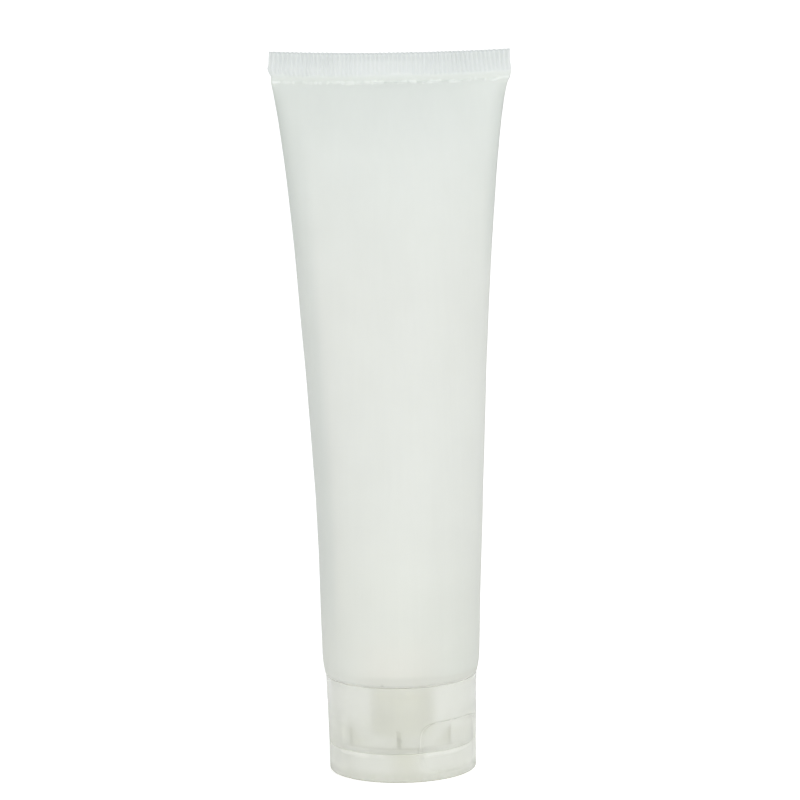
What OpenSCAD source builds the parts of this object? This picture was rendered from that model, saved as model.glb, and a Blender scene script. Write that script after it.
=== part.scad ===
// Flip-top squeeze tube, empty, standing on its closed cap.
// Millimetres. Origin on the tube's axis at the lid's flat outer face, +Z up
// through the neck to the crimped end. The crimp runs along X.
// -Y is the front of the tube.

/* [Sleeve] */
// Diameter of the round end of the sleeve
tube_d = 35; // [32:0.5:40]
// Height of the whole tube standing on its cap
tube_h = 160.8; // [135:0.1:190]
// Wall of the extruded sleeve
wall = 0.5; // [0.4:0.05:0.7]
// Height of the crimped band
crimp_h = 6.6; // [4:0.1:9]
// How far the middle of the crimp stands forward of its ends
crimp_bow = 4.2; // [0:0.2:6]
// Share of the flare that comes in evenly along the sleeve
flare_share = 0.72; // [0.5:0.01:0.9]
// How much the sleeve draws in where it meets the shoulder
shoulder_draw = 0.5; // [0.3:0.05:0.8]

/* [Head] */
// Outside diameter of the neck under its thread
neck_d = 11.8; // [11:0.1:12.2]
// Diameter of the mouth through the neck
mouth_d = 8.4; // [7:0.1:9]
// Thickness of the shoulder
shoulder_t = 1.3; // [1:0.1:1.8]
// Drop of the shoulder's cone from its rim to the neck
shoulder_drop = 4.1; // [3:0.1:4.5]

/* [Cap] */
// Height of the closed cap
cap_h = 21.5; // [20.5:0.5:24]
// Height of the lid
lid_h = 6.5; // [6:0.5:7]
// Diameter of the cap at its open rim
rim_d = 33.44; // [33:0.02:33.6]
// Diameter of the cap at the lid
lid_d = 32.6; // [32.4:0.02:32.8]
// Wall of the cap's skirt
skirt_wall = 1.05; // [0.9:0.05:1.15]
// Wall of the closed face of the lid
face_wall = 1.2; // [1:0.1:1.4]
// Gap between lid and base, and between cap and shoulder
seam = 0.2; // [0.15:0.05:0.3]

/* [Cap inside] */
// Number of stiffening ribs between the deck and the skirt
rib_n = 8; // [6:1:10]
// Direction of the first rib, from the front
rib_first = -3; // [-20:1:20]
// Thickness of a rib
rib_t = 1; // [0.6:0.1:1.2]
// Height of a rib where it meets the skirt
rib_h = 4.1; // [3:0.1:5]
// How far a rib reaches in along the deck
rib_reach = 6.4; // [5:0.1:7]
// Diameter of the hole that the lid's plug closes
spout_d = 3.8; // [3.4:0.1:4.4]
// Clearance around the plug
plug_gap = 0.32; // [0.3:0.02:0.4]

/* [Thumb recess] */
// Direction of the recess, from the front towards the right
recess_az = 50; // [30:1:70]
// Width of the recess
recess_w = 20.6; // [14:0.2:21]
// Depth of the recess
recess_depth = 0.5; // [0.3:0.05:0.5]
// Lowest level of the recess, on the lid
recess_low = 1.6; // [1.4:0.1:2.5]
// Highest level of the recess, on the skirt
recess_high = 13.9; // [12:0.1:16]

/* [Hinge] */
// Width of the hinge land
hinge_w = 9; // [6:0.5:11]
// Height of each half of the hinge land
hinge_h = 2.2; // [1.5:0.1:2.6]

/* [Hidden] */

FN = 128;             // true curves
RING = 72;            // points in one section of the sleeve
eps = 0.01;

tube_r = tube_d / 2;
lid_r = lid_d / 2;
rim_r = rim_d / 2;

// levels
z_part = lid_h;                         // parting plane, and the hinge axis
z_lid = z_part - seam / 2;              // open rim of the lid
z_base = z_part + seam / 2;             // underside of the deck
deck_t = 0.9;                           // deck between the lid and the collar
z_deck = z_base + deck_t;
z_rim = cap_h;                          // open rim of the skirt
z_end = z_rim + 2 * seam;               // cut end of the sleeve, face of the shoulder
z_neck = z_deck + 0.3;                  // end of the neck
z_root = z_end - shoulder_drop;         // root of the neck
z_round = z_end + 4.1;                  // where the sleeve reaches its full diameter
z_seal = tube_h - crimp_h;              // where the two walls meet
z_start = z_end + 2;                    // where the flare starts

// radii
collar_in = neck_d / 2 + 0.75;          // inner collar, clear of both threads
collar_wall = 0.8;
collar_top = z_root - 1.1;              // free end of the collar, under the shoulder
hinge_r = lid_r + 0.35;                 // hinge axis, just outside both skirts

// ---- sleeve: round at the head, a flat bowed strip at the crimp -----------
flat_half = (PI * tube_d - 4 * wall) / 4;                      // half the flat width
crimp_half = flat_half - 2 / 3 * pow(crimp_bow, 2) / flat_half; // half its chord
flare = crimp_half - tube_r;
seal_t = 2 * wall;                      // both walls, pressed together

function along(z) = min(1, max(0, (z - z_start) / (z_seal - z_start)));
function draw(z) = z < z_round ? shoulder_draw * pow((z_round - z) / (z_round - z_end), 2) : 0;
// half width of the section
function half_w(z) = let (s = along(z))
    tube_r - draw(z) + flare * (flare_share * pow(s, 1.35) + (1 - flare_share) * pow(s, 8));
// half depth of the section: a sealed, air-filled sleeve closes like a pillow
function half_d(z) = let (s = along(z)) (tube_r - draw(z)) * sqrt(max(0, 1 - pow(s, 1.5)));
function bow(z) = crimp_bow * pow(along(z), 6);
function bend(z, u) = bow(z) * (u * u - 0.65);

// one section: w and d are its half sizes, e the half thickness it keeps at its ends
function section(z, w, d, e) = [for (i = [0:RING - 1])
    let (a = 360 * i / RING, u = cos(a), v = sin(a),
         y = sign(v) * sqrt(max(0, d * d * (1 - u * u) + e * e * (1 - pow(u, 20)))))
    [w * u, y + bend(z, u), z]];

out_low = [for (i = [0:4]) z_end + (z_round - z_end) * i / 5];
out_mid = [for (i = [0:20]) z_round + (z_seal - z_round) * (1 - pow(1 - i / 20, 2))];
out_top = [z_seal + crimp_h / 2, tube_h];
z_out = concat(out_low, out_mid, out_top);
z_roof = z_seal - 0.4;                  // top of the hollow
in_mid = [for (i = [0:18]) z_round + (z_roof - z_round) * (1 - pow(1 - i / 18, 2))];
z_in = concat(out_low, in_mid);

function outer(z) = section(z, half_w(z), half_d(z), wall * pow(along(z), 3));
function inner(z) = section(z, half_w(z) - wall - 0.7 * pow(along(z), 10),
                            max(half_d(z) - wall, 0.1), 0.1 * pow(along(z), 3));

module tube_sleeve() {
    no = len(z_out);
    ni = len(z_in);
    pts = concat([for (z = z_out) each outer(z)], [for (z = z_in) each inner(z)]);
    function o(k, i) = k * RING + (i % RING);
    function n(k, i) = (no + k) * RING + (i % RING);
    half = RING / 2;
    faces = concat(
        [for (k = [0:no - 2]) for (i = [0:RING - 1]) each [
            [o(k, i), o(k + 1, i), o(k + 1, i + 1)], [o(k, i), o(k + 1, i + 1), o(k, i + 1)]]],
        [for (k = [0:ni - 2]) for (i = [0:RING - 1]) each [
            [n(k, i), n(k + 1, i + 1), n(k + 1, i)], [n(k, i), n(k, i + 1), n(k + 1, i + 1)]]],
        // cut end, between the two walls
        [for (i = [0:RING - 1]) each [
            [o(0, i), o(0, i + 1), n(0, i + 1)], [o(0, i), n(0, i + 1), n(0, i)]]],
        // top edge of the crimp
        [[o(no - 1, 0), o(no - 1, RING - 1), o(no - 1, 1)]],
        [for (i = [1:half - 2]) each [
            [o(no - 1, i), o(no - 1, RING - i), o(no - 1, RING - i - 1)],
            [o(no - 1, i), o(no - 1, RING - i - 1), o(no - 1, i + 1)]]],
        [[o(no - 1, half - 1), o(no - 1, half + 1), o(no - 1, half)]],
        // roof of the hollow
        [[n(ni - 1, 0), n(ni - 1, 1), n(ni - 1, RING - 1)]],
        [for (i = [1:half - 2]) each [
            [n(ni - 1, i), n(ni - 1, RING - i - 1), n(ni - 1, RING - i)],
            [n(ni - 1, i), n(ni - 1, i + 1), n(ni - 1, RING - i - 1)]]],
        [[n(ni - 1, half - 1), n(ni - 1, half), n(ni - 1, half + 1)]]);
    color([0.89, 0.9, 0.88]) polyhedron(points = pts, faces = faces, convexity = 6);
}

// ---- head: shoulder and neck in one moulding, welded into the sleeve -------
module tube_head() {
    rs = tube_r - shoulder_draw - wall;         // inside of the sleeve at its cut end
    rc = rs - 1.25;                             // top of the shoulder's cone
    lean = shoulder_t / cos(atan(shoulder_drop / (rc - neck_d / 2)));
    color([0.86, 0.87, 0.84]) rotate_extrude($fn = FN) polygon([
        [mouth_d / 2 + 0.3, z_neck], [neck_d / 2 - 0.4, z_neck], [neck_d / 2, z_neck + 0.5],
        [neck_d / 2, z_root - 0.4], [neck_d / 2 + 0.5, z_root],
        [rc, z_end], [rs + 0.02, z_end], [rs + 0.18, z_end + 1.2], [rs + 0.28, z_end + 2.4],
        [rs - 0.7, z_end + 2.4], [rc - 0.1, z_end + lean],
        [mouth_d / 2, z_root + lean + 0.1], [mouth_d / 2, z_neck + 0.4]]);
}

// ---- thumb recess: a rounded window cut to an even depth ------------------
module recess_outline() {
    a = recess_w / 2;
    b = (recess_high - recess_low) / 2;
    polygon([for (i = [0:47]) let (t = 7.5 * i, c = cos(t), s = sin(t))
        [a * sign(c) * pow(abs(c), 2 / 4), b * sign(s) * pow(abs(s), 2 / 3.8)]]);
}

module thumb_recess() {
    intersection() {
        rotate([0, 0, recess_az]) translate([0, -9, (recess_high + recess_low) / 2])
            rotate([90, 0, 0]) linear_extrude(12) recess_outline();
        difference() {
            cylinder(r = rim_r + 2, h = z_rim, $fn = FN);
            translate([0, 0, -1]) cylinder(r = lid_r - recess_depth, h = z_rim + 2, $fn = FN);
        }
    }
}

// flat land that carries the hinge, between two levels, opposite the recess
module hinge_land(z0, z1) {
    rotate([0, 0, recess_az]) translate([-hinge_w / 2, lid_r - 0.9, z0])
        cube([hinge_w, hinge_r - 0.05 - (lid_r - 0.9), z1 - z0]);
}

// ---- cap base: skirt, deck, threaded collar, ribs and spout ---------------
module cap_base() {
    ri = rim_r - skirt_wall;
    rd = lid_r - skirt_wall + 0.1;
    color([0.87, 0.89, 0.85]) difference() {
        union() {
            // skirt and deck
            rotate_extrude($fn = FN) polygon([
                [spout_d / 2 - 0.6, z_base], [lid_r - 0.25, z_base], [lid_r, z_base + 0.25],
                [rim_r - 0.02, z_rim - 0.3], [rim_r - 0.2, z_rim], [ri + 0.15, z_rim],
                [ri, z_rim - 0.3], [rd, z_deck + 0.5], [rd - 0.5, z_deck], [spout_d / 2 - 0.6, z_deck]]);
            // collar that the neck screws into
            translate([0, 0, z_deck - eps]) difference() {
                cylinder(r = collar_in + collar_wall, h = collar_top - z_deck, $fn = FN);
                translate([0, 0, -1]) cylinder(r = collar_in, h = collar_top - z_deck + 2, $fn = FN);
            }
            // stiffening ribs: gussets from the deck up the skirt
            for (k = [0:rib_n - 1]) rotate([0, 0, rib_first - 90 + 360 * k / rib_n])
                translate([0, rib_t / 2, 0]) rotate([90, 0, 0]) linear_extrude(rib_t) polygon([
                    [rd - rib_reach, z_deck - 0.2], [rd + 0.2, z_deck - 0.2], [rd + 0.2, z_deck + rib_h],
                    [rd - 0.3, z_deck + 0.8 * rib_h], [rd - 1.9, z_deck + 0.44 * rib_h],
                    [rd - 4, z_deck + 0.23 * rib_h], [rd - rib_reach, z_deck + 0.1]]);
            // ring that the lid snaps over
            rotate_extrude($fn = FN) polygon([
                [rd - 1.6, z_base + eps], [rd - 1.5, z_base - 1.2], [rd - 0.7, z_base - 1.2],
                [rd - 0.5, z_base - 0.8], [rd - 0.5, z_base + eps]]);
            // spout
            rotate_extrude($fn = FN) polygon([
                [spout_d / 2 - 0.6, z_base + eps], [spout_d / 2 - 0.6, z_base - 1.8],
                [spout_d / 2 + 0.9, z_base - 1.8], [spout_d / 2 + 1.3, z_base - 1.5],
                [spout_d / 2 + 2, z_base + eps]]);
            hinge_land(z_base, z_base + hinge_h);
        }
        translate([0, 0, z_base - 3]) cylinder(d = spout_d, h = deck_t + 5, $fn = 64);
        translate([0, 0, -0.01]) thumb_recess();
    }
}

// ---- lid: closed face, skirt, plug and the lip under the recess -----------
module cap_lid() {
    ri = lid_r - skirt_wall - 0.05;
    edge = 0.55;                                // rounding of the outer edge
    plug_r = spout_d / 2 - plug_gap;
    color([0.86, 0.88, 0.84]) difference() {
        union() {
            rotate_extrude($fn = FN) polygon(concat(
                [[0, 0]],
                [for (i = [0:5]) [lid_r - 0.05 - edge + edge * sin(18 * i), edge - edge * cos(18 * i)]],
                [[lid_r, z_lid - 0.2], [lid_r - 0.2, z_lid], [ri + 0.1, z_lid],
                 [ri, z_lid - 0.3], [ri, face_wall + 0.5], [ri - 0.5, face_wall],
                 // ring that closes around the spout
                 [5.2, face_wall], [5.1, face_wall + 1.9], [4.5, face_wall + 1.9], [4.4, face_wall],
                 // plug
                 [plug_r + 0.4, face_wall], [plug_r, face_wall + 0.5], [plug_r, z_lid - 0.1],
                 [plug_r - 0.35, z_lid + 0.8], [0, z_lid + 0.8]]));
            hinge_land(z_lid - hinge_h, z_lid);
        }
        translate([0, 0, -0.01]) thumb_recess();
    }
}

tube_sleeve();
tube_head();
cap_base();
cap_lid();
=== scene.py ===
import math

import bpy
import numpy as np
from mathutils import Matrix, Vector


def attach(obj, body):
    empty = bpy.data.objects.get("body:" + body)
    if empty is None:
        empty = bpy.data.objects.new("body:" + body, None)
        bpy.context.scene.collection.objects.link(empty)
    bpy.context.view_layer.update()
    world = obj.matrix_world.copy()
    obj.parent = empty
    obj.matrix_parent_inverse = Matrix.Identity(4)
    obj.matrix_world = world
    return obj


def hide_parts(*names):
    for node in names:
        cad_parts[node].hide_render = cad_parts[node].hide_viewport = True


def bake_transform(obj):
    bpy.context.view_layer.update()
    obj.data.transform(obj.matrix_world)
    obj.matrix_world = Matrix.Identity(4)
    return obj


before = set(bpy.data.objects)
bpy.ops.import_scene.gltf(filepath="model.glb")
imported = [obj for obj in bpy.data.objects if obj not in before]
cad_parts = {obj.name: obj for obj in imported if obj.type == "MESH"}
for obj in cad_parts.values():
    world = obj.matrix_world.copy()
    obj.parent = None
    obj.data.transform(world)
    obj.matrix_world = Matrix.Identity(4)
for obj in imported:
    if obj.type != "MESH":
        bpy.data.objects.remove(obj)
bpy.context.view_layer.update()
MM = 0.001
rng = np.random.default_rng(7)

# --------------------------------------------------------------------------
# sizes, in millimetres, as in the construction
# --------------------------------------------------------------------------
TUBE_R, WALL, TUBE_H = 17.5, 0.5, 160.8
CRIMP_H, CRIMP_BOW = 6.6, 4.2
Z_PART, Z_RIM, Z_END = 6.5, 21.5, 21.9
Z_LID, Z_BASE, Z_DECK = 6.4, 6.6, 7.5
Z_ROUND, Z_SEAL, Z_START = 26.0, TUBE_H - CRIMP_H, 23.9
LID_R, RIM_R, HINGE_R = 16.3, 16.72, 16.65
RECESS_AZ = math.radians(50)
THUMB = -math.pi / 2 + RECESS_AZ          # polar angle of the recess
HINGE = math.pi / 2 + RECESS_AZ           # polar angle of the hinge
RECESS_R = LID_R - 0.5
RIB_FIRST, RIB_H, RIB_REACH = -3, 4.1, 6.4

# --------------------------------------------------------------------------
# small smooth noises, the same on every run
# --------------------------------------------------------------------------
_tab = rng.random(4096)


def noise1(x, seed=0):
    """Smooth noise along a line, from -1 to 1, one wiggle per unit."""
    x = np.asarray(x, float) + seed * 37.13
    i = np.floor(x).astype(int)
    f = x - i
    f = f * f * (3 - 2 * f)
    return (_tab[i % 4096] * (1 - f) + _tab[(i + 1) % 4096] * f) * 2 - 1


def noise2(x, y, seed=0):
    x, y = np.broadcast_arrays(np.asarray(x, float), np.asarray(y, float))
    i, j = np.floor(x).astype(int), np.floor(y).astype(int)
    f, g = x - i, y - j
    f, g = f * f * (3 - 2 * f), g * g * (3 - 2 * g)

    def at(a, b):
        return _tab[(a * 131 + b * 57 + seed * 911 + (a * b) % 13 * 7) % 4096]

    return ((at(i, j) * (1 - f) + at(i + 1, j) * f) * (1 - g)
            + (at(i, j + 1) * (1 - f) + at(i + 1, j + 1) * f) * g) * 2 - 1


def step(a, b, x):
    t = np.clip((np.asarray(x, float) - a) / (b - a), 0, 1)
    return t * t * (3 - 2 * t)


# --------------------------------------------------------------------------
# meshes
# --------------------------------------------------------------------------
def make(name, verts, faces, paint=None):
    """A mesh object from millimetres, with its faces turned outwards. paint: named values of its points."""
    mesh = bpy.data.meshes.new(name)
    mesh.from_pydata([tuple(v) for v in (np.asarray(verts, float) * MM)], [], faces)
    for key, values in (paint or {}).items():
        mesh.attributes.new(key, "FLOAT", "POINT").data.foreach_set("value", np.asarray(values, np.float32))
    mesh.update()
    obj = bpy.data.objects.new(name, mesh)
    bpy.context.scene.collection.objects.link(obj)
    outward(obj)
    return obj


def volume(mesh):
    mesh.calc_loop_triangles()
    co = np.empty(len(mesh.vertices) * 3)
    mesh.vertices.foreach_get("co", co)
    co = co.reshape(-1, 3)
    tri = np.empty(len(mesh.loop_triangles) * 3, np.int32)
    mesh.loop_triangles.foreach_get("vertices", tri)
    a, b, c = (co[tri.reshape(-1, 3)[:, k]] for k in range(3))
    return float(np.einsum("ij,ij->i", a, np.cross(b, c)).sum() / 6)


def outward(obj):
    if volume(obj.data) < 0:
        obj.data.flip_normals()


def fillets(points, closed, n=5):
    """points: (r, z, radius, pitch). Rounds each corner, and splits the stretch after a point into steps of pitch."""
    pts = [tuple(p) + (0,) * (4 - len(p)) for p in points]
    count = len(pts)
    corners = []
    for k, (x, y, rad, _) in enumerate(pts):
        if not rad or (not closed and k in (0, count - 1)):
            corners.append([(x, y)])
            continue
        p = np.array([x, y])
        a = np.array(pts[k - 1][:2]) - p
        b = np.array(pts[(k + 1) % count][:2]) - p
        la, lb = np.linalg.norm(a), np.linalg.norm(b)
        a, b = a / la, b / lb
        half = math.acos(max(-1, min(1, float(a @ b)))) / 2
        cut = min(rad / math.tan(half), 0.45 * la, 0.45 * lb)
        rad = cut * math.tan(half)
        mid = (a + b) / np.linalg.norm(a + b)
        centre = p + mid * (rad / math.sin(half))
        s, e = p + a * cut - centre, p + b * cut - centre
        turn = math.atan2(s[0] * e[1] - s[1] * e[0], float(s @ e))
        corners.append([tuple(centre + np.array([s[0] * math.cos(t) - s[1] * math.sin(t),
                                                 s[0] * math.sin(t) + s[1] * math.cos(t)]))
                        for t in np.linspace(0, turn, n)])
    out = []
    for k in range(count):
        out += corners[k]
        if not closed and k == count - 1:
            break
        pitch = pts[k][3]
        if pitch:
            a, b = np.array(corners[k][-1]), np.array(corners[(k + 1) % count][0])
            m = max(1, int(round(np.linalg.norm(b - a) / pitch)))
            out += [tuple(a + (b - a) * i / m) for i in range(1, m)]
    return out


def lathe(name, profile, seg, closed=True, shape=None):
    """Turns a profile about Z. shape(r, z, angle) may move r. An open profile starts and ends on the axis."""
    prof = np.array(profile, float)
    ring = prof if closed else prof[1:-1]
    ang = np.arange(seg) * 2 * math.pi / seg
    k = len(ring)
    r = np.repeat(ring[:, 0][:, None], seg, 1)
    z = np.repeat(ring[:, 1][:, None], seg, 1)
    a = np.repeat(ang[None, :], k, 0)
    if shape:
        r = shape(r, z, a)
    verts = np.stack([r * np.cos(a), r * np.sin(a), z], -1).reshape(-1, 3)
    faces = []
    for i in range(k if closed else k - 1):
        j = (i + 1) % k
        for s in range(seg):
            t = (s + 1) % seg
            faces.append((i * seg + s, i * seg + t, j * seg + t, j * seg + s))
    if not closed:
        verts = np.vstack([verts, [[0, 0, prof[0, 1]], [0, 0, prof[-1, 1]]]])
        lo, hi = len(verts) - 2, len(verts) - 1
        for s in range(seg):
            t = (s + 1) % seg
            faces.append((lo, t, s))
            faces.append(((k - 1) * seg + s, (k - 1) * seg + t, hi))
    return make(name, verts, faces)


def join_solid(obj, others):
    """One solid of them all. The others are used up."""
    for other in others:
        mod = obj.modifiers.new("join", "BOOLEAN")
        mod.operation = "UNION"
        mod.object = other
        try:
            mod.solver = "MANIFOLD"
        except TypeError:
            mod.solver = "EXACT"
        bpy.context.view_layer.update()
        dg = bpy.context.evaluated_depsgraph_get()
        new = bpy.data.meshes.new_from_object(obj.evaluated_get(dg))
        obj.modifiers.clear()
        old, obj.data = obj.data, new
        bpy.data.meshes.remove(old)
        gone = other.data
        bpy.data.objects.remove(other)
        bpy.data.meshes.remove(gone)
    return obj


def finish_mesh(obj, angle=32):
    for p in obj.data.polygons:
        p.use_smooth = True
    obj.data.set_sharp_from_angle(angle=math.radians(angle))
    mod = obj.modifiers.new("even_normals", "WEIGHTED_NORMAL")
    mod.keep_sharp = True
    mod.weight = 60
    return obj


def thread(name, radius, crest, pitch, z0, z1, inward=False, seg=96):
    """A right-handed thread ridge that fades out at both ends."""
    turns = (z1 - z0) / pitch
    n = int(seg * turns)
    t = np.linspace(0, 1, n + 1)
    grow = np.minimum(1, np.minimum(t, 1 - t) * turns * 3.2)
    grow = step(0, 1, grow)
    a = t * turns * 2 * math.pi
    zc = z0 + t * (z1 - z0)
    sgn = -1 if inward else 1
    wide, narrow = 0.62, 0.2
    root = radius - sgn * 0.25
    verts = []
    for k in range(n + 1):
        top = radius + sgn * (crest * grow[k] - 0.04)
        w, nw = wide, narrow + (wide - narrow) * (1 - grow[k]) * 0.6
        for rr, dz in ((root, -w), (top - sgn * 0.07, -nw - 0.05), (top, -nw + 0.08), (top, nw - 0.08), (top - sgn * 0.07, nw + 0.05), (root, w)):
            verts.append((rr * math.cos(a[k]), rr * math.sin(a[k]), zc[k] + dz))
    m = 6
    faces = []
    for k in range(n):
        for s in range(m):
            q = (s + 1) % m
            faces.append((k * m + s, k * m + q, (k + 1) * m + q, (k + 1) * m + s))
    faces.append(tuple(reversed(range(m))))
    faces.append(tuple(n * m + s for s in range(m)))
    return make(name, verts, faces)


# --------------------------------------------------------------------------
# cap: thumb recess and hinge land, as moves of the outer wall
# --------------------------------------------------------------------------
def recess_depth(r, z, a):
    """0 outside the thumb recess, 1 on its floor. Its sides slope in over a millimetre, its top and foot more steeply."""
    d = a - THUMB
    front = np.cos(d) > 0.2
    x = r * np.sin(d)
    z = z + 0.012 * np.maximum(0, x) ** 2 * step(8, 12, z)
    qx, qz = (np.abs(x) / 10.05) ** 5, (np.abs(z - 7.55) / 5.95) ** 4.6
    q = qx + qz + 1e-9
    t = np.clip((1 - q ** (1 / 4.8)) / (0.06 + 0.065 * qx / q), 0, 1)
    return np.where(front, 0.7 * t + 0.3 * step(0, 1, t), 0)


def outer_wall(r, z, a, z0, z1):
    """The skirt with its recess and its flat hinge land. Only the outer wall moves."""
    wall = r > LID_R - 0.62
    deep = recess_depth(r, z, a)
    floor = RECESS_R - 0.08 * step(0.35, 0.0, np.abs(z - 7.75) / 12)
    moved = np.where(wall, r - np.maximum(0, r - floor) * deep, r)
    d = a - HINGE
    flat = (HINGE_R - 0.05) / np.maximum(np.cos(d), 0.5)
    across = np.abs(r * np.sin(d))
    on = step(4.62, 4.42, across) * step(z0 - 0.12, z0 + 0.1, z) * step(z1 + 0.12, z1 - 0.1, z) * (np.cos(d) > 0.5)
    return np.where(wall & (flat > moved), moved + (flat - moved) * on, moved)


def base_shape(r, z, a):
    return outer_wall(r, z, a, Z_BASE - 1, Z_BASE + 2.2)


def lid_shape(r, z, a):
    return outer_wall(r, z, a, Z_LID - 2.2, Z_LID + 1)


SEG = 420
cap_base = lathe("cap_base_shell", fillets([
    (16.30, 6.55, 0.14, 0.22), (RIM_R, 21.50, 0.14), (15.67, 21.50, 0.28, 0.4), (15.35, 7.50, 0.6),
    (7.45, 7.50, 0.35, 1.2), (7.40, 16.70, 0.2), (6.65, 16.70, 0.25, 1.2), (6.65, 7.50, 0.3),
    (1.90, 7.50, 0.25), (1.90, 4.80, 0.12), (2.85, 4.80, 0.2), (3.15, 5.10, 0.2), (3.85, 6.60, 0.35),
    (13.75, 6.60, 0.15), (13.85, 5.42, 0.15), (14.60, 5.42, 0.18), (14.85, 5.85, 0.2), (14.85, 6.58, 0.1)],
    True, 5), SEG, True, base_shape)

def gusset(name, azimuth):
    """A rib in the corner of deck and skirt, its free edge hollow and its arrises rounded."""
    rd = 15.35
    top = [(rd + 0.25, RIB_H + 0.1)] + [(rd - RIB_REACH * t, 0.1 + (RIB_H - 0.1) * (1 - t) ** 2.3) for t in np.linspace(0, 1, 13)]
    outline = np.array([(x, Z_DECK + z) for x, z in top] + [(rd - RIB_REACH, Z_DECK - 0.25), (rd + 0.25, Z_DECK - 0.25)])
    mid = np.array([rd - 1.9, Z_DECK + 0.75])
    towards = mid - outline
    inset = outline + towards / np.linalg.norm(towards, axis=1)[:, None] * 0.14
    turn = math.radians(azimuth - 90)
    radial, across = np.array([math.cos(turn), math.sin(turn)]), np.array([-math.sin(turn), math.cos(turn)])
    verts, m = [], len(outline)
    for side, ring in ((-0.5, inset), (-0.36, outline), (0.36, outline), (0.5, inset)):
        for x, z in ring:
            p = radial * x + across * side
            verts.append((p[0], p[1], z))
    faces = [(i * m + k, i * m + (k + 1) % m, (i + 1) * m + (k + 1) % m, (i + 1) * m + k) for i in range(3) for k in range(m)]
    faces += [tuple(reversed(range(m))), tuple(3 * m + k for k in range(m))]
    return make(name, verts, faces)


ribs = [gusset(f"rib_{k}", RIB_FIRST + 45 * k) for k in range(8)]
ribs.append(thread("collar_thread", 6.65, 0.3, 3.2, 10.6, 15.6, inward=True))
join_solid(cap_base, ribs)

cap_lid = lathe("cap_lid_shell", fillets([
    (0, 0, 0, 1.6), (16.25, 0.0, 0.6, 0.22), (16.30, 6.45, 0.14), (15.25, 6.45, 0.15), (15.20, 1.20, 0.55),
    (5.25, 1.20, 0.2), (5.10, 3.10, 0.15), (4.50, 3.10, 0.15), (4.35, 1.20, 0.25),
    (1.62, 1.20, 0.4), (1.58, 6.35, 0.15), (1.25, 7.20, 0.25), (0, 7.20)],
    False, 6), SEG, False, lid_shape)

head = lathe("tube_head_moulding", fillets([
    (4.20, 7.80, 0.25), (5.90, 7.80, 0.4, 1.0), (5.90, 17.75, 0.5), (15.15, 21.60, 0.2), (16.60, 21.60, 0.08), (16.62, 21.95, 0.05),
    (16.66, 23.10, 0.2), (16.76, 24.30, 0.1), (15.80, 24.30, 0.3), (15.15, 23.30, 0.6), (4.20, 19.30, 0.5)],
    True, 5), 240)
join_solid(head, [thread("neck_thread", 5.90, 0.35, 3.2, 9.5, 16.3)])

# the web that joins base and lid: a thin bowed strip over the parting line
def hinge_web():
    nu, nv = 40, 18
    verts, faces = [], []
    out = np.array([math.cos(HINGE), math.sin(HINGE), 0])
    along = np.array([-math.sin(HINGE), math.cos(HINGE), 0])
    for side in (0, 1):
        for j in range(nv + 1):
            t = j / nv
            z = Z_PART + 1.15 - 2.3 * t
            bulge = 0.3 * math.sin(math.pi * t) ** 1.5
            for i in range(nu + 1):
                s = i / nu * 2 - 1
                half = 4.1 - 0.5 * math.sin(math.pi * t) ** 2
                edge = 1 - abs(s) ** 8
                thick = (0.1 + 0.16 * abs(2 * t - 1) ** 1.5) * (0.35 + 0.65 * edge)
                rr = HINGE_R - 0.12 + bulge + (thick if side else -0.02)
                verts.append(out * rr + along * (half * s) + np.array([0, 0, z]))
    row, one = nu + 1, (nu + 1) * (nv + 1)
    for j in range(nv):
        for i in range(nu):
            a = j * row + i
            faces.append((a, a + 1, a + row + 1, a + row))
            faces.append((one + a, one + a + row, one + a + row + 1, one + a + 1))
    rim = [i for i in range(nu)] + [j * row + nu for j in range(nv)] \
        + [nv * row + nu - i for i in range(nu)] + [(nv - j) * row for j in range(nv)]
    for k in range(len(rim)):
        a, b = rim[k], rim[(k + 1) % len(rim)]
        faces.append((a, one + a, one + b, b))
    return make("living_hinge_web", np.array(verts), faces)


web = hinge_web()

# --------------------------------------------------------------------------
# sleeve
# --------------------------------------------------------------------------
FLAT_HALF = (math.pi * 2 * TUBE_R - 4 * WALL) / 4
CRIMP_HALF = FLAT_HALF - 2 / 3 * CRIMP_BOW ** 2 / FLAT_HALF
FLARE = CRIMP_HALF - TUBE_R


def along(z):
    return np.clip((z - Z_START) / (Z_SEAL - Z_START), 0, 1)


def draw_in(z):
    return np.where(z < Z_ROUND, 0.5 * ((Z_ROUND - z) / (Z_ROUND - Z_END)) ** 2, 0)


def half_w(z):
    s = along(z)
    return TUBE_R - draw_in(z) + FLARE * (0.72 * s ** 1.35 + 0.28 * s ** 8)


# how far each side of a used, slightly uneven sleeve stands off the even form, by height
SIDE_Z = [21.9, 26, 31, 36, 42, 49, 56, 63, 70, 76, 83, 90, 96, 103, 117, 130, 139, 145, 150, 152, 153.4, 154.2, 155.2, 156.2, 157, 158, 160.8]
SIDE_LEFT = [-.12, -.1, -.1, -.1, -.26, -.44, -.52, -.54, -.49, -.42, -.33, -.23, -.18, -.12, -.12, -.14, -.22, -.35, -.42, -.46, -.47, -.5, -.6, -.05, .17, -.1, -.24]
SIDE_RIGHT = [-.2, -.1, 0, .04, .12, .15, .18, .16, .14, .09, .06, .03, .01, -.02, -.04, -.16, -.28, -.44, -.55, -.52, -.42, -.16, .06, .08, .04, -.08, -.1]


def uneven(z, u):
    """Sideways move of a point at u, from -1 on the left to 1 on the right."""
    left = np.interp(z, SIDE_Z, SIDE_LEFT)
    right = np.interp(z, SIDE_Z, SIDE_RIGHT)
    return np.where(u < 0, -left, right) * u * u


def half_d(z):
    s = along(z)
    return (TUBE_R - draw_in(z)) * np.sqrt(np.maximum(0, 1 - s ** 1.5))


def bow(z):
    return CRIMP_BOW * along(z) ** 6


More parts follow.
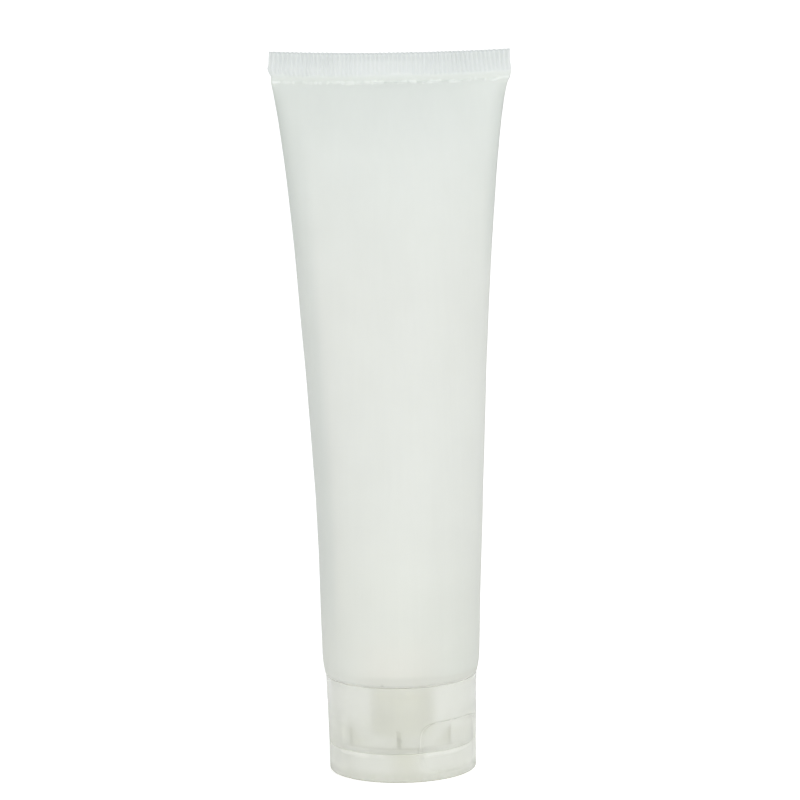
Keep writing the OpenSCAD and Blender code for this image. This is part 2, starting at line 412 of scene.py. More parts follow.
def section(z, n, w, d, e, side_room=0.0):
    """Points round the sleeve at height z: n in front and n behind. u runs evenly at the crimp, and by angle below."""
    tau = np.arange(n) / n
    beta = step(0.55, 1.0, along(z))
    u = (1 - beta) * np.cos(math.pi * tau) + beta * (1 - 2 * tau)
    u = np.concatenate([u, -u])
    side = np.concatenate([np.ones(n), -np.ones(n)])          # first behind (+Y), then in front
    h = np.sqrt(np.maximum(0, d * d * (1 - u * u) + e * e * (1 - np.abs(u) ** 40)))
    x = w * u
    y = side * h + bow(z) * (u * u - 0.65)
    return x, y, u, side


def sleeve():
    nb, fine = 144, 3
    nf = nb * fine
    verts, rings, groove_shade_paint, melt_glint_paint, side_shade_paint, left_shade_paint = [], [], [], [], [], []

    def add(x, y, z, rib=0, melt_glint=0, side_shade=0, left=0):
        k = len(x)
        start = sum(len(v) for v in verts)
        verts.append(np.stack([x, y, np.broadcast_to(z, x.shape)], -1))
        groove_shade_paint.append(np.broadcast_to(np.asarray(rib, float), x.shape))
        melt_glint_paint.append(np.broadcast_to(np.asarray(melt_glint, float), x.shape))
        side_shade_paint.append(np.broadcast_to(np.asarray(side_shade, float), x.shape))
        left_shade_paint.append(np.broadcast_to(np.asarray(left, float), x.shape))
        rings.append((start, k))

    # cut end, then up the outside
    lows = [(21.9, -0.16), (21.93, -0.05), (22.02, 0.0)] + [(z, 0.0) for z in np.linspace(22.3, 26, 9)]
    ups = Z_ROUND + (153.0 - Z_ROUND) * (1 - (1 - np.linspace(0, 1, 92)[1:]) ** 1.6)
    for z, inset in lows + [(z, 0.0) for z in ups]:
        w, d = float(half_w(z)) + inset, float(half_d(z)) + inset
        x, y, u, side = section(z, nb, w, d, WALL * float(along(z)) ** 3)
        # soft unevenness of a blown, handled sleeve
        s = float(along(z))
        th = np.arctan2(y, x)
        rough = 0.10 * noise2(np.cos(th) * 1.6 + 5, np.full_like(th, z / 21 + 3), 1) \
            + 0.05 * noise2(np.sin(th) * 3 + 9, np.full_like(th, z / 9), 2)
        rough *= min(1, max(0, (z - 27) / 12)) * (1 - 0.75 * step(0.9, 1, s))
        norm = np.hypot(x, y)
        x, y = x + uneven(z, u) + rough * x / norm, y + rough * y / norm
        # the last two values are painted shade: strips along both sides high up, and a strip down the left side
        add(x, y, z, 0, 0, step(0.86, 1.0, np.abs(u)) * step(105, 128, z) * step(156, 150, z),
            step(-0.72, -0.88, u) * step(28, 44, z) * step(152, 138, z))
    body_rings = len(rings)
    # bead, smooth band, ribs and cut edge of the crimp, on a finer grid
    zs = np.concatenate([np.linspace(153.2, 155.3, 22), np.linspace(155.45, 160.1, 16),
                         [160.25, 160.4, 160.53, 160.64, 160.72, 160.77]])
    for z in zs:
        w, d = float(half_w(min(z, Z_SEAL))), float(half_d(min(z, Z_SEAL)))
        x, y, u, side = section(min(z, Z_SEAL), nf, w, d, WALL)
        ends = 1 - np.abs(u) ** 30
        # the cut edge thins out
        y = y - side * 0.26 * step(160.05, 160.8, z) * ends
        # melt bead, wavy, where the walls part, and the smooth band over it
        zb = 154.15 + 0.2 * noise1(x / 2.6, 3) + 0.12 * noise1(x / 0.9, 4)
        amp = np.maximum(0.03, 0.16 + 0.10 * noise1(x / 1.9, 5) + 0.12 * noise1(x / 0.55, 6))
        amp = amp * (1 + 0.25 * step(-14, -8, x) * step(19, 14, x))
        bead = amp * np.exp(-((z - zb) / 0.33) ** 2)
        ze = 155.85 + 0.3 * noise1(x / 5.5, 13) + 0.14 * noise1(x / 1.1, 10) + 0.25 * step(-20, -26, x)
        band = step(zb - 0.25, zb + 0.1, z) * step(ze + 0.12, ze - 0.12, z)
        # ribs pressed by the jaws: both faces follow the same wave
        lean = math.tan(math.radians(6.0)) * step(9, 14, x) * step(25.5, 22, x)
        phase = (x + lean * (z - 157.6) + 0.07 * noise1(x / 3.1, 8)) / 0.972
        wave = np.cos(2 * math.pi * phase)
        wave = np.sign(wave) * np.abs(wave) ** 0.75
        num = np.floor(phase + 0.25)
        soft = 1 - 0.55 * np.exp(-((x + 2) / 8.5) ** 2) * step(159.6, 158.6, z)
        strength = 0.15 * (1 + 0.3 * noise1(num * 0.77, 9)) * (0.7 + 0.3 * step(156, 160, z)) * soft
        press = step(ze - 0.15, ze + 0.25, z)
        rib = strength * wave * press
        y = y + side * bead * ends + rib * ends
        skew = -0.17 * (1 + u) * step(154.2, 160.8, z)
        zz = z + skew + (0.035 * wave + 0.03 * noise1(x / 0.7, 12)) * step(159.9, 160.7, z)
        # painted shade in the grooves between the pressed ribs
        groove_shade = np.clip(0.5 - 0.5 * side * wave * -1, 0, 1) * press * soft
        # the last value paints glints on the bead and a lighter smooth band over it
        add(x + uneven(z, u), y, zz, groove_shade, np.maximum(band * 0.22, np.clip((bead - 0.03) / 0.17, 0, 1)))
    top_ring = rings[-1]
    faces = []

    def stitch(a, b):
        (sa, na), (sb, nb_) = a, b
        if na == nb_:
            for i in range(na):
                j = (i + 1) % na
                faces.append((sa + i, sa + j, sb + j, sb + i))
        else:
            k = nb_ // na
            for i in range(na):
                j = (i + 1) % na
                far = [sb + (i * k + m) % nb_ for m in range(k + 1)]
                faces.append((sa + i, sa + j, *reversed(far)))

    for i in range(len(rings) - 1):
        stitch(rings[i], rings[i + 1])
    # top edge: pairs of points in front and behind
    s0, n0 = top_ring
    h = n0 // 2
    faces.append((s0, s0 + 1, s0 + n0 - 1))
    for i in range(1, h - 1):
        faces.append((s0 + i, s0 + i + 1, s0 + n0 - i - 1, s0 + n0 - i))
    faces.append((s0 + h - 1, s0 + h, s0 + h + 1))
    # inside
    inner = []
    zi = np.concatenate([np.linspace(21.9, 26, 6), Z_ROUND + (153.6 - Z_ROUND) * (1 - (1 - np.linspace(0, 1, 44)[1:]) ** 2)])
    for z in zi:
        s = float(along(z))
        w = float(half_w(z)) - WALL - 0.8 * s ** 10
        d = max(float(half_d(z)) - WALL, 0.08)
        x, y, u, side = section(z, 72, w, d, 0.1 * s ** 3)
        add(x + uneven(z, u), y, z)
        inner.append(rings[-1])
    for a, b in zip(inner, inner[1:]):
        for i in range(a[1]):
            j = (i + 1) % a[1]
            faces.append((a[0] + j, a[0] + i, b[0] + i, b[0] + j))
    s1, n1 = inner[-1]
    h = n1 // 2
    faces.append((s1, s1 + n1 - 1, s1 + 1))
    for i in range(1, h - 1):
        faces.append((s1 + i + 1, s1 + i, s1 + n1 - i, s1 + n1 - i - 1))
    faces.append((s1 + h - 1, s1 + h + 1, s1 + h))
    # cut end, between the coarser inner and the outer ring
    s2, n2 = inner[0]
    s3, n3 = rings[0]
    k = n3 // n2
    for i in range(n2):
        j = (i + 1) % n2
        far = [s3 + (i * k + m) % n3 for m in range(k + 1)]
        faces.append((s2 + j, s2 + i, *far))
    return make("tube_sleeve_skin", np.vstack(verts), faces,
                {"rib": np.concatenate(groove_shade_paint), "melt_glint": np.concatenate(melt_glint_paint),
                 "side_shade": np.concatenate(side_shade_paint), "left": np.concatenate(left_shade_paint)})


skin = sleeve()

# --------------------------------------------------------------------------
# materials
# --------------------------------------------------------------------------
class Nodes:
    def __init__(self, name):
        self.mat = bpy.data.materials.new(name)
        self.mat.use_nodes = True
        self.t = self.mat.node_tree
        self.t.nodes.clear()
        self.out = self.t.nodes.new("ShaderNodeOutputMaterial")
        self.p = self.t.nodes.new("ShaderNodeBsdfPrincipled")
        self.link(self.p.outputs[0], self.out.inputs["Surface"])
        self.co = self.t.nodes.new("ShaderNodeTexCoord").outputs["Object"]
        sep = self.t.nodes.new("ShaderNodeSeparateXYZ")
        self.link(self.co, sep.inputs[0])
        self.x, self.y, self.z = sep.outputs

    def link(self, a, b):
        self.t.links.new(a, b)

    def noise(self, scale, detail=3, rough=0.5, stretch=(1, 1, 1), distortion=0.0):
        m = self.t.nodes.new("ShaderNodeMapping")
        m.inputs["Scale"].default_value = tuple(scale * s for s in stretch)
        self.link(self.co, m.inputs["Vector"])
        n = self.t.nodes.new("ShaderNodeTexNoise")
        n.inputs["Scale"].default_value = 1.0
        n.inputs["Detail"].default_value = detail
        n.inputs["Roughness"].default_value = rough
        n.inputs["Distortion"].default_value = distortion
        self.link(m.outputs[0], n.inputs["Vector"])
        return n.outputs["Fac"]

    def remap(self, v, a, b, c, d, smooth=False):
        n = self.t.nodes.new("ShaderNodeMapRange")
        n.interpolation_type = "SMOOTHSTEP" if smooth else "LINEAR"
        for k, val in zip(("From Min", "From Max", "To Min", "To Max"), (a, b, c, d)):
            n.inputs[k].default_value = val
        self.link(v, n.inputs["Value"])
        return n.outputs["Result"]

    def math(self, op, a, b=None):
        n = self.t.nodes.new("ShaderNodeMath")
        n.operation = op
        for i, v in enumerate((a, b)):
            if v is None:
                continue
            if isinstance(v, (int, float)):
                n.inputs[i].default_value = v
            else:
                self.link(v, n.inputs[i])
        return n.outputs[0]

    def near(self, v, at, width):
        """1 where v is at, falling to 0 a width away."""
        away = self.math("ABSOLUTE", self.math("SUBTRACT", v, at))
        return self.remap(away, 0.0, width, 1.0, 0.0, True)

    def mix(self, fac, a, b):
        n = self.t.nodes.new("ShaderNodeMix")
        n.data_type = "RGBA"
        for sock, v in ((n.inputs["Factor"], fac), (n.inputs[6], a), (n.inputs[7], b)):
            if isinstance(v, (tuple, list)):
                sock.default_value = (*v, 1)
            elif isinstance(v, (int, float)):
                sock.default_value = v
            else:
                self.link(v, sock)
        return n.outputs[2]

    def scale(self, colour, factor):
        n = self.t.nodes.new("ShaderNodeVectorMath")
        n.operation = "SCALE"
        self.link(colour, n.inputs[0])
        self.link(factor, n.inputs["Scale"])
        return n.outputs[0]

    def paint(self, key):
        n = self.t.nodes.new("ShaderNodeAttribute")
        n.attribute_type = "GEOMETRY"
        n.attribute_name = key
        return n.outputs["Fac"]

    def bump(self, height, distance, strength=1.0, normal=None):
        n = self.t.nodes.new("ShaderNodeBump")
        n.inputs["Strength"].default_value = strength
        n.inputs["Distance"].default_value = distance
        self.link(height, n.inputs["Height"])
        if normal is not None:
            self.link(normal, n.inputs["Normal"])
        return n.outputs[0]


def sleeve_material():
    n = Nodes("frosted_sleeve")
    body, crimp, dark = (0.775, 0.79, 0.74), (0.75, 0.777, 0.766), (0.60, 0.63, 0.625)
    weld, glint_white = (0.705, 0.71, 0.645), (0.835, 0.865, 0.83)
    tone = n.noise(70, 3)
    streak = n.noise(900, 4, 0.6, (1, 1, 0.012))
    upper = n.remap(n.z, 0.10, 0.154, 0.0, 1.0, True)
    col = n.mix(n.math("MULTIPLY", upper, 0.5), body, (0.72, 0.765, 0.735))
    # warmer towards the shoulder and in its middle; painted shade: darker on the right low down, greyer up towards the
    # seal, in strips along both sides high up and down the left side
    col = n.mix(n.remap(n.z, 0.028, 0.075, 0.55, 0.0, True), col, (0.775, 0.79, 0.715))
    middle = n.math("MULTIPLY", n.remap(n.z, 0.026, 0.036, 0.8, 0.0, True), n.remap(n.math("ABSOLUTE", n.x), 0.004, 0.013, 1.0, 0.0, True))
    col = n.mix(middle, col, (0.775, 0.77, 0.70))
    # painted shade: darker towards the right, low on the sleeve
    lean = n.math("MULTIPLY", n.remap(n.z, 0.026, 0.060, 1.0, 0.0, True), n.remap(n.x, -0.002, 0.014, 0.0, 1.0, True))
    col = n.mix(n.math("MULTIPLY", lean, 0.5), col, (0.70, 0.72, 0.66))
    # painted shade: greyer up towards the seal, where the face tilts, less so at the right end
    under_seal_shade = n.math("MULTIPLY", n.remap(n.z, 0.137, 0.153, 0.0, 1.0, True), n.remap(n.x, 0.014, 0.024, 1.0, 0.3, True))
    col = n.mix(n.math("MULTIPLY", under_seal_shade, 0.5), col, (0.655, 0.69, 0.655))
    # painted shade: darker strips along both sides of the upper sleeve
    col = n.mix(n.math("MULTIPLY", n.paint("side_shade"), 0.5), col, (0.60, 0.635, 0.60))
    # painted shade: a darker strip down the left side of the sleeve
    col = n.mix(n.math("MULTIPLY", n.paint("left"), 0.5), col, (0.66, 0.695, 0.655))
    col = n.scale(col, n.math("MULTIPLY", n.remap(tone, 0.3, 0.7, 0.985, 1.012), n.remap(streak, 0.3, 0.7, 0.994, 1.006)))
    in_crimp = n.remap(n.z, 0.1548, 0.1562, 0.0, 1.0, True)
    col = n.mix(in_crimp, col, crimp)
    # painted shade in the ribs' grooves, stronger towards the top
    col = n.mix(n.math("MULTIPLY", n.paint("rib"), n.remap(n.z, 0.1566, 0.1604, 0.28, 0.8)), col, dark)
    edge = n.remap(n.math("ADD", n.z, n.math("MULTIPLY", n.x, 0.0065)), 0.16005, 0.1604, 0.0, 0.55, True)
    col = n.mix(edge, col, dark)
    # painted glints on the bead, broken up by noise, and a lighter smooth band over it
    melt_glint = n.math("MULTIPLY", n.paint("melt_glint"), n.remap(n.noise(420, 2), 0.3, 0.7, 0.55, 1.0))
    col = n.mix(melt_glint, col, glint_white)
    bent = n.math("ADD", n.remap(n.noise(90, 1), 0.3, 0.7, -0.00012, 0.00012), n.remap(n.math("ABSOLUTE", n.x), 0.004, 0.012, -0.0005, 0.0, True))
    welded = n.remap(n.math("ADD", n.z, bent), 0.0230, 0.0241, 0.75, 0.0, True)
    col = n.mix(n.math("MULTIPLY", welded, n.remap(n.x, -0.013, -0.004, 0.0, 1.0, True)), col, weld)
    # painted shadow of a nick in the cut end; the mesh has no nick
    nick_shadow = n.math("MULTIPLY", n.near(n.x, -0.0043, 0.0006), n.near(n.z, 0.0219, 0.0009))
    nick_shadow = n.math("MULTIPLY", nick_shadow, n.remap(n.y, -0.001, 0.0, 0.55, 0.0))
    col = n.mix(nick_shadow, col, (0.50, 0.50, 0.44))
    n.link(col, n.p.inputs["Base Color"])
    fine = n.noise(5200, 3, 0.55)
    rough = n.remap(n.noise(180, 3), 0.3, 0.7, 0.40, 0.50)
    rough = n.math("SUBTRACT", rough, n.math("MULTIPLY", n.paint("melt_glint"), 0.2))
    n.link(rough, n.p.inputs["Roughness"])
    b = n.bump(fine, 0.000012, 0.5)
    b = n.bump(streak, 0.00002, 0.5, b)
    b = n.bump(n.noise(640, 2), 0.00006, 0.35, b)
    n.link(b, n.p.inputs["Normal"])
    n.p.inputs["Subsurface Weight"].default_value = 0.25
    n.p.inputs["Subsurface Radius"].default_value = (1.0, 1.0, 0.9)
    n.p.inputs["Subsurface Scale"].default_value = 0.0015
    n.p.inputs["IOR"].default_value = 1.5
    n.p.inputs["Specular IOR Level"].default_value = 0.4
    return n.mat


def cap_material(name, base, alpha=1.0, clear=0.0, milk=0.0, rough=(0.42, 0.48), ior=1.12, coat=0.35, ribs=False, foot=False, head=False):
    n = Nodes(name)
    tone = n.noise(95, 3)
    flow = n.noise(260, 2, 0.5, (1, 1, 0.6))
    random_tint = n.math("MULTIPLY", n.remap(tone, 0.2, 0.8, 0.98, 1.015), n.remap(flow, 0.2, 0.8, 0.99, 1.01))
    plain = n.t.nodes.new("ShaderNodeRGB")
    plain.outputs[0].default_value = (*base, 1)
    col = n.scale(plain.outputs[0], random_tint)
    radius = n.math("SQRT", n.math("ADD", n.math("MULTIPLY", n.x, n.x), n.math("MULTIPLY", n.y, n.y)))
    outside = n.remap(radius, 0.01555, 0.01565, 0.0, 1.0)
    # the thumb recess's arrises: a painted shadow line round it and a second one inside its side slopes, a painted
    # highlight on its left side slope, and painted glints under its top
    side = n.math("SUBTRACT", n.math("MULTIPLY", n.y, math.cos(THUMB)), n.math("MULTIPLY", n.x, math.sin(THUMB)))
    drop = n.math("MULTIPLY", n.math("POWER", n.math("MAXIMUM", side, 0.0), 2.0), n.remap(n.z, 0.008, 0.012, 0.0, 12.0, True))
    high = n.math("ADD", n.z, drop)
    across = n.math("ABSOLUTE", side)
    ahead = n.math("ADD", n.math("MULTIPLY", n.x, math.cos(THUMB)), n.math("MULTIPLY", n.y, math.sin(THUMB)))
    qx = n.math("POWER", n.math("MULTIPLY", across, 1 / 0.01005), 5.0)
    qz = n.math("POWER", n.math("MULTIPLY", n.math("ABSOLUTE", n.math("SUBTRACT", high, 0.00755)), 1 / 0.00595), 4.6)
    q = n.math("ADD", n.math("ADD", qx, qz), 1e-6)
    k = n.math("POWER", q, 1 / 4.8)
    share = n.math("DIVIDE", qx, q)
    skin = n.math("MULTIPLY", outside, n.remap(ahead, 0.0098, 0.0102, 0.0, 1.0))
    broken = n.remap(n.noise(330, 2), 0.35, 0.6, 0.45, 1.0, True)
    inner = n.math("SUBTRACT", 0.94, n.math("MULTIPLY", share, 0.065))
    inner = n.remap(n.math("ABSOLUTE", n.math("SUBTRACT", k, inner)), 0.0, 0.018, 1.0, 0.0, True)
    arris_shadow = n.math("MAXIMUM", n.near(k, 1.0, 0.026), n.math("MULTIPLY", inner, share))
    faint = n.math("MULTIPLY", n.remap(side, 0.003, 0.0095, 1.0, 0.2, True), n.remap(n.z, 0.0066, 0.0088, 0.35, 1.0, True))
    corner = n.math("MULTIPLY", n.remap(side, -0.0092, -0.0062, 1.0, 0.0, True), n.remap(n.z, 0.0100, 0.0118, 0.0, 1.0, True))
    faint = n.math("MULTIPLY", faint, n.remap(corner, 0.0, 1.0, 1.0, 0.35))
    arris_shadow = n.math("MULTIPLY", n.math("MULTIPLY", arris_shadow, skin), n.math("MULTIPLY", broken, faint))
    glint = n.math("MULTIPLY", n.near(k, 0.945, 0.03), n.math("SUBTRACT", 1.0, share))
    glint = n.math("MULTIPLY", n.math("MULTIPLY", glint, n.remap(n.z, 0.0095, 0.011, 0.0, 1.0, True)), n.math("MULTIPLY", skin, n.remap(n.noise(700, 1), 0.48, 0.62, 0.0, 1.0, True)))
    arris_shadow = n.math("MULTIPLY", arris_shadow, n.remap(share, 0.1, 0.9, 0.65, 1.0))
    # painted highlight: the left side slope is made more solid, so it shows paler
    slope_highlight = n.math("MULTIPLY", n.math("MULTIPLY", n.near(k, 0.938, 0.028), share), n.math("MULTIPLY", skin, n.remap(side, 0.0, 0.004, 0.3, 0.0)))
    col = n.mix(n.math("MULTIPLY", arris_shadow, 0.15 if foot else 0.75), col, (0.42, 0.43, 0.37))
    arris_shadow = n.math("MULTIPLY", arris_shadow, 0.2 if foot else 0.8)
    solid = arris_shadow if foot else n.math("MAXIMUM", arris_shadow, slope_highlight)
    # painted light: towards both sides the wall is made more solid, so it shows paler
    lit = n.math("MULTIPLY", n.remap(n.math("ABSOLUTE", n.x), 0.0115, 0.0156, 0.0, 0.75, True), outside)
    lit = n.math("MULTIPLY", lit, n.math("MULTIPLY", n.remap(n.z, 0.0010, 0.0028, 0.0, 1.0, True), n.remap(n.z, 0.0110, 0.0150, 1.0, 0.0, True)))
    solid = n.math("MAXIMUM", solid, lit)
    if ribs:
        # painted shade: the ribs' bodies are darkened on the front side, and a greyer line where each one thickens the
        # skirt's wall stands for the rib's shade seen through it
        turn = n.math("COSINE", n.math("MULTIPLY", n.math("ADD", n.math("ARCTAN2", n.y, n.x), math.radians(90.0 - RIB_FIRST)), 8.0))
        rib_line_shade = n.remap(turn, 0.955, 0.992, 0.0, 1.0, True)
        high = n.math("MULTIPLY", n.remap(n.z, 0.0074, 0.0078, 0.0, 1.0, True), n.remap(n.z, 0.0106, 0.0122, 1.0, 0.0, True))
        wall = n.math("MULTIPLY", n.remap(radius, 0.0152, 0.0153, 0.0, 1.0), n.math("SUBTRACT", 1.0, outside))
        rib_line_shade = n.math("MULTIPLY", n.math("MULTIPLY", rib_line_shade, high), wall)
        body = n.math("MULTIPLY", n.remap(radius, 0.0080, 0.0084, 0.0, 1.0), n.remap(radius, 0.0152, 0.0153, 1.0, 0.0))
        body = n.math("MULTIPLY", body, n.math("MULTIPLY", n.remap(n.z, 0.00752, 0.0076, 0.0, 1.0), n.remap(n.z, 0.0118, 0.0125, 1.0, 0.0)))
        body = n.math("MULTIPLY", body, n.remap(n.y, -0.004, 0.002, 0.9, 0.0, True))
        rib = n.math("MULTIPLY", n.math("MAXIMUM", rib_line_shade, body), n.remap(n.math("ABSOLUTE", n.y), 0.003, 0.005, 0.25, 0.9, True))
        # painted shade on the ribs and on the lines behind them
        col = n.mix(rib, col, (0.67, 0.67, 0.58))
        # the foot of the skirt, thick because the deck joins it, lets less light through
        thick = n.math("MULTIPLY", n.remap(n.z, 0.0074, 0.0079, 0.25, 0.0, True), outside)
        solid = n.math("MAXIMUM", n.math("MAXIMUM", solid, rib), thick)
    if foot:
        # painted shade: greyer towards the edge that the tube stands on, with a darker, more solid line right at it;
        # darker down the middle; painted highlight along the lip
        low_shade = n.math("MULTIPLY", n.remap(n.z, 0.0002, 0.0034, 1.0, 0.0, True), outside)
        low_shade = n.math("MULTIPLY", low_shade, n.remap(n.noise(700, 3), 0.3, 0.7, 0.45, 0.75))
        low_shade = n.math("MULTIPLY", low_shade, n.remap(n.math("ABSOLUTE", n.x), 0.0125, 0.0158, 1.0, 0.25, True))
        col = n.mix(low_shade, col, (0.72, 0.73, 0.60))
        middle = n.math("MULTIPLY", n.near(n.x, 0.0006, 0.0055), outside)
        col = n.mix(n.math("MULTIPLY", middle, 0.5), col, (0.76, 0.76, 0.64))
        # painted shade: a darker, more solid line along the very edge the tube stands on
        edge_line_shade = n.math("MULTIPLY", n.remap(n.z, 0.00015, 0.0005, 1.0, 0.0, True), outside)
        col = n.mix(n.math("MULTIPLY", edge_line_shade, 0.6), col, (0.62, 0.62, 0.52))
        # painted highlight along the lip, broken up by noise and weaker in the middle
        lip_highlight = n.math("MULTIPLY", n.remap(n.z, 0.0052, 0.0060, 0.0, 1.0, True), outside)
        lip_highlight = n.math("MULTIPLY", lip_highlight, n.remap(n.noise(130, 1), 0.35, 0.6, 0.3, 1.0, True))
        lip_highlight = n.math("MULTIPLY", lip_highlight, n.remap(n.math("ABSOLUTE", n.x), 0.003, 0.006, 0.1, 0.8, True))
        solid = n.math("MAXIMUM", solid, n.math("MAXIMUM", n.math("MULTIPLY", edge_line_shade, 0.6), lip_highlight))
    if head:
        # painted light and shade: the shoulder and the flange between sleeve and cap are painted paler, and the neck
        # darker further down inside the cap
        col = n.mix(n.remap(n.z, 0.0168, 0.0180, 0.0, 1.0, True), col, (0.93, 0.93, 0.88))
        col = n.mix(n.remap(radius, 0.0155, 0.0159, 0.0, 1.0, True), col, (0.78, 0.78, 0.73))
        col = n.mix(n.remap(n.z, 0.0125, 0.0168, 0.6, 0.0, True), col, (0.57, 0.56, 0.46))
    else:
        # painted shade inside the cap: the plug and the spout are painted darker; they are also thick for their size
        core_shade = n.math("MULTIPLY", n.remap(radius, 0.0039, 0.0042, 1.0, 0.0), n.remap(n.z, 0.0012, 0.0016, 0.0, 1.0))
        core_shade = n.math("MULTIPLY", core_shade, n.remap(n.z, 0.0073, 0.0076, 1.0, 0.0))
        col = n.mix(n.math("MULTIPLY", core_shade, 0.25), col, (0.66, 0.66, 0.53))
        if ribs:
            # painted shade: the foot of the collar is darker too
            collar_shade = n.math("MULTIPLY", n.remap(radius, 0.0060, 0.0062, 0.0, 1.0), n.remap(radius, 0.0076, 0.0078, 1.0, 0.0))
            collar_shade = n.math("MULTIPLY", collar_shade, n.math("MULTIPLY", n.remap(n.z, 0.0078, 0.0082, 0.0, 0.35), n.remap(n.z, 0.0120, 0.0165, 1.0, 0.0, True)))
            col = n.mix(collar_shade, col, (0.66, 0.66, 0.53))
        # the thin flat walls across the cap let the most light through
        level = n.remap(n.z, 0.0014, 0.0016, 1.0, 0.0) if foot else n.remap(n.z, 0.0077, 0.0078, 1.0, 0.0)
        plate = n.math("MULTIPLY", n.remap(radius, 0.0146, 0.0150, -0.12 if foot else -0.3, 0.0), level)
        solid = n.math("MAXIMUM", solid, glint)
        n.link(n.math("ADD", n.remap(solid, 0.0, 1.0, alpha, alpha + 0.3), plate), n.p.inputs["Alpha"])
    n.link(col, n.p.inputs["Base Color"])
    n.link(n.remap(flow, 0.2, 0.8, *rough), n.p.inputs["Roughness"])
    b = n.bump(n.noise(110, 1), 0.00004, 0.15)
    b = n.bump(n.noise(3800, 2), 0.000003, 0.3, b)
    n.link(b, n.p.inputs["Normal"])
    n.p.inputs["Alpha"].default_value = alpha
    n.p.inputs["Coat Weight"].default_value = coat
    n.p.inputs["Coat Roughness"].default_value = 0.2
    n.p.inputs["Coat IOR"].default_value = 1.4
    n.p.inputs["Transmission Weight"].default_value = clear
    n.p.inputs["IOR"].default_value = ior
    n.p.inputs["Subsurface Weight"].default_value = milk
    n.p.inputs["Subsurface Radius"].default_value = (1.0, 1.0, 0.92)
    n.p.inputs["Subsurface Scale"].default_value = 0.0018
    return n.mat


M_SLEEVE = sleeve_material()
M_CAP = cap_material("natural_moulding", (0.98, 0.985, 0.94), 0.48, 0.4, ribs=True)
M_LID = cap_material("natural_moulding_lid", (0.975, 0.98, 0.935), 0.55, 0.3, foot=True)
M_HEAD = cap_material("head_moulding", (0.68, 0.67, 0.56), 1.0, 0.0, 0.3, (0.35, 0.45), 1.45, 0.0, head=True)

for obj, mat, slot, body, node, sharp in (
        (skin, M_SLEEVE, "sleeve_plastic", "tube", "tube_sleeve", 50),
        (head, M_HEAD, "head_plastic", "tube", "tube_head", 40),
        (cap_base, M_CAP, "cap_plastic", "cap", "cap_base", 40),
        (cap_lid, M_LID, "lid_plastic", "lid", "cap_lid", 40)):
    obj.data.materials.clear()
    obj.data.materials.append(mat)
    finish_mesh(obj, sharp)
    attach(obj, body)
    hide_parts(node)

web.data.materials.append(M_CAP)
finish_mesh(web, 60)
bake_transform(web)

# --------------------------------------------------------------------------
# floor, light and camera
# --------------------------------------------------------------------------
size = 6.0
floor_mesh = bpy.data.meshes.new("floor")
floor_mesh.from_pydata([(-size, -size, 0), (size, -size, 0), (size, size, 0), (-size, size, 0)], [], [(0, 1, 2, 3)])
floor = bpy.data.objects.new("floor", floor_mesh)
bpy.context.scene.collection.objects.link(floor)
fm = Nodes("pale_floor")
fm.p.inputs["Base Color"].default_value = (0.88, 0.88, 0.88, 1)
fm.p.inputs["Roughness"].default_value = 0.9
fm.p.inputs["Specular IOR Level"].default_value = 0.1
fm.p.inputs["Emission Color"].default_value = (1, 1, 1, 1)
# seen directly the floor is lifted to white, less so through the cap, and the object is lit by its plain colour
lift = fm.t.nodes.new("ShaderNodeLightPath")
behind = fm.math("MULTIPLY", fm.math("MINIMUM", lift.outputs["Transparent Depth"], 1), 0.56)
direct = fm.math("SUBTRACT", lift.outputs["Is Camera Ray"], behind)
fm.link(fm.remap(direct, 0, 1, 0.0, 0.5), fm.p.inputs["Emission Strength"])
floor.data.materials.append(fm.mat)

# a soft room: bright in front and to the right, dim on the left and behind
world = bpy.data.worlds.new("studio")
bpy.context.scene.world = world
world.use_nodes = True
wt = world.node_tree
wt.nodes.clear()
w_out = wt.nodes.new("ShaderNodeOutputWorld")
bg = wt.nodes.new("ShaderNodeBackground")
tc = wt.nodes.new("ShaderNodeTexCoord")
dot = wt.nodes.new("ShaderNodeVectorMath")
dot.operation = "DOT_PRODUCT"
dot.inputs[1].default_value = (0.42, -0.9, 0.05)
wt.links.new(tc.outputs["Generated"], dot.inputs[0])
mr = wt.nodes.new("ShaderNodeMapRange")
mr.interpolation_type = "SMOOTHSTEP"
for k, v in zip(("From Min", "From Max", "To Min", "To Max"), (-0.6, 0.9, 0.572, 1.03)):
    mr.inputs[k].default_value = v
wt.links.new(dot.outputs["Value"], mr.inputs["Value"])
wt.links.new(mr.outputs["Result"], bg.inputs["Strength"])
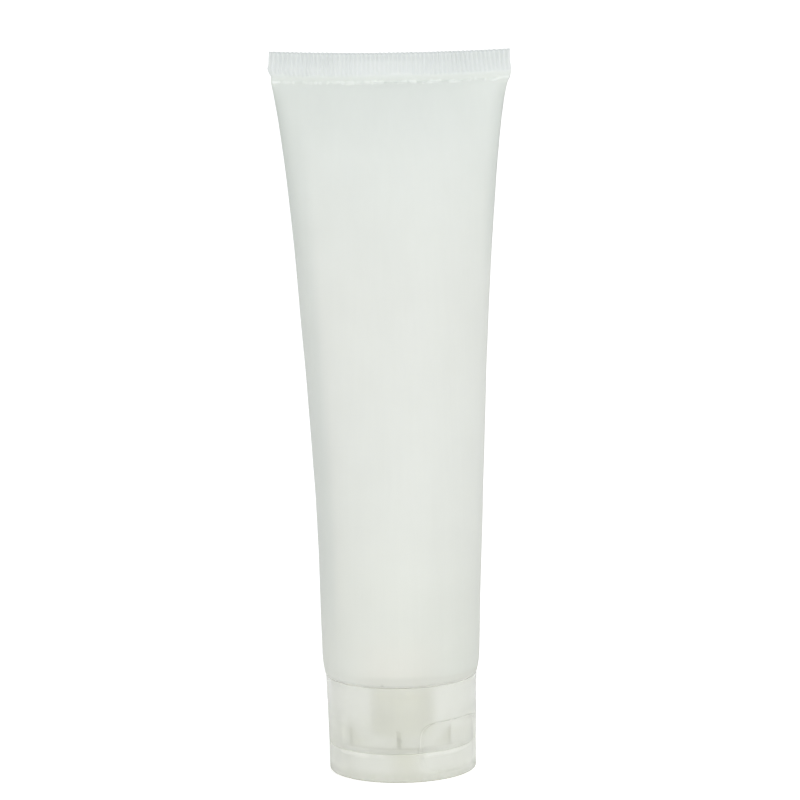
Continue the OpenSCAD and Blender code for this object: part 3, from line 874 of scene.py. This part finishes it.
bg.inputs["Color"].default_value = (0.985, 1.0, 1.0, 1)
wt.links.new(bg.outputs[0], w_out.inputs["Surface"])


def softbox(name, at, aim, w, h, power):
    data = bpy.data.lights.new(name, "AREA")
    data.shape = "RECTANGLE"
    data.size, data.size_y = w, h
    data.energy = power
    lamp = bpy.data.objects.new(name, data)
    bpy.context.scene.collection.objects.link(lamp)
    lamp.location = at
    lamp.rotation_mode = "QUATERNION"
    lamp.rotation_quaternion = (Vector(aim) - Vector(at)).to_track_quat("-Z", "Y")
    lamp.visible_camera = False
    return lamp


softbox("key", (0.75, -1.45, 0.45), (0, 0, 0.08), 1.0, 1.1, 5.45)
softbox("fill", (-1.2, -0.45, 0.2), (0, 0, 0.06), 0.35, 0.9, 2.9)

D, ELEV, ROLL, F = 1.5, math.radians(13.61), math.radians(1.14), 6917.3
eye = Vector((0, -D, D * math.tan(ELEV)))
fw = (Vector((0, 0, 0.08)) - eye).normalized()
rt = fw.cross(Vector((0, 0, 1))).normalized()
up = rt.cross(fw)
ix = math.cos(ROLL) * rt - math.sin(ROLL) * up
iy = math.sin(ROLL) * rt + math.cos(ROLL) * up
fw = (fw + ix * (3.8 / F) + iy * (13.36 / F)).normalized()
ix = (ix - fw * ix.dot(fw)).normalized()
iy = ix.cross(fw).normalized()
cam_data = bpy.data.cameras.new("camera")
cam = bpy.data.objects.new("camera", cam_data)
bpy.context.scene.collection.objects.link(cam)
cam_data.sensor_width = 36
cam_data.lens = F / 800 * 36
cam_data.clip_start, cam_data.clip_end = 0.05, 30
cam.matrix_world = Matrix(((ix.x, iy.x, -fw.x, eye.x), (ix.y, iy.y, -fw.y, eye.y), (ix.z, iy.z, -fw.z, eye.z), (0, 0, 0, 1)))
bpy.context.scene.camera = cam
bpy.context.scene.view_settings.view_transform = "Standard"
# light crosses many clear walls here: without enough bounces they go dark
paths = bpy.context.scene.cycles
paths.max_bounces, paths.diffuse_bounces, paths.glossy_bounces = 32, 12, 8
paths.transmission_bounces, paths.transparent_max_bounces = 24, 32
